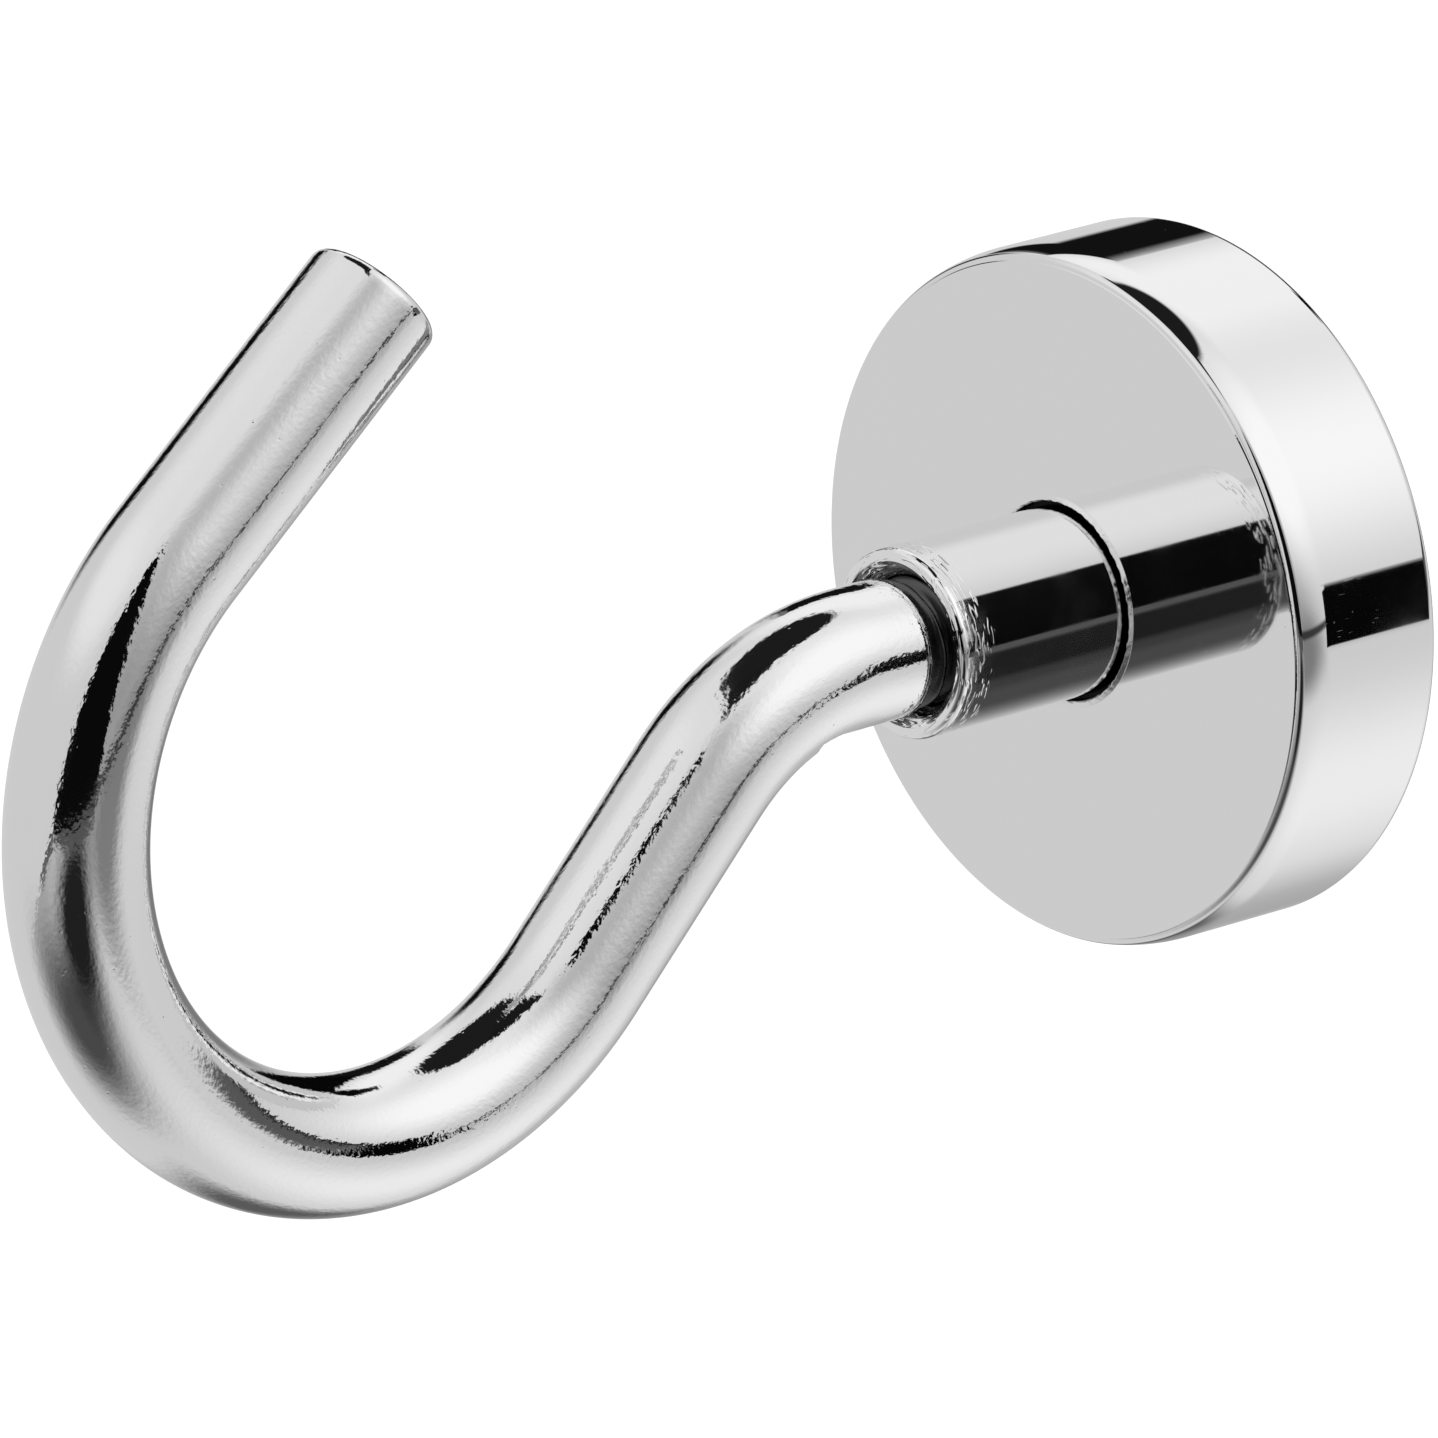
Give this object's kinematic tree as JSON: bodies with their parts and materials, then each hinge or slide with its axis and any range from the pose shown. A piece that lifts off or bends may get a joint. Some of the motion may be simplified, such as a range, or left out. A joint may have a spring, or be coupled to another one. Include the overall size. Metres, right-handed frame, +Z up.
{
  "type": "magnetic hook",
  "caption": "Pot magnet with a threaded boss and a round steel hook screwed into it, for hanging things from a steel wall, door or frame.",
  "frame": {"origin": "centre of the magnet's back face, which clings to the steel surface", "axes": "+Y into the surface that the magnet clings to, +Z up, so that the hook's mouth is upwards; -Y runs out along the boss and the hook's shank, and the hook lies in the plane X = 0"},
  "size_m": [0.0322, 0.0682, 0.0437],
  "materials": {
    "plated_cup": "bright chrome plate on turned steel, fine handling marks",
    "plated_boss": "bright chrome plate over fine turning marks",
    "plated_rod": "bright plate on drawn and bent rod, with lengthwise drawing lines and fine pits",
    "nickel_plate": "satin nickel plate on a ground magnet face",
    "potting_resin": "cast dark resin, slightly glossy",
    "adhesive": "thin cured adhesive"
  },
  "bodies": {
    "magnet_base": {"pot_cup": "plated_cup", "threaded_boss": "plated_boss", "magnet_disc": "nickel_plate", "glue_film": "adhesive", "resin_ring": "potting_resin"},
    "hook": {"hook": "plated_rod"}
  },
  "joints": [
    {"name": "hook_turn", "type": "hinge", "parent": "magnet_base", "child": "hook", "pos_m": [0, -0.0179, 0], "axis": [0, -1, 0], "range_deg": [-180, 180]}
  ]
}
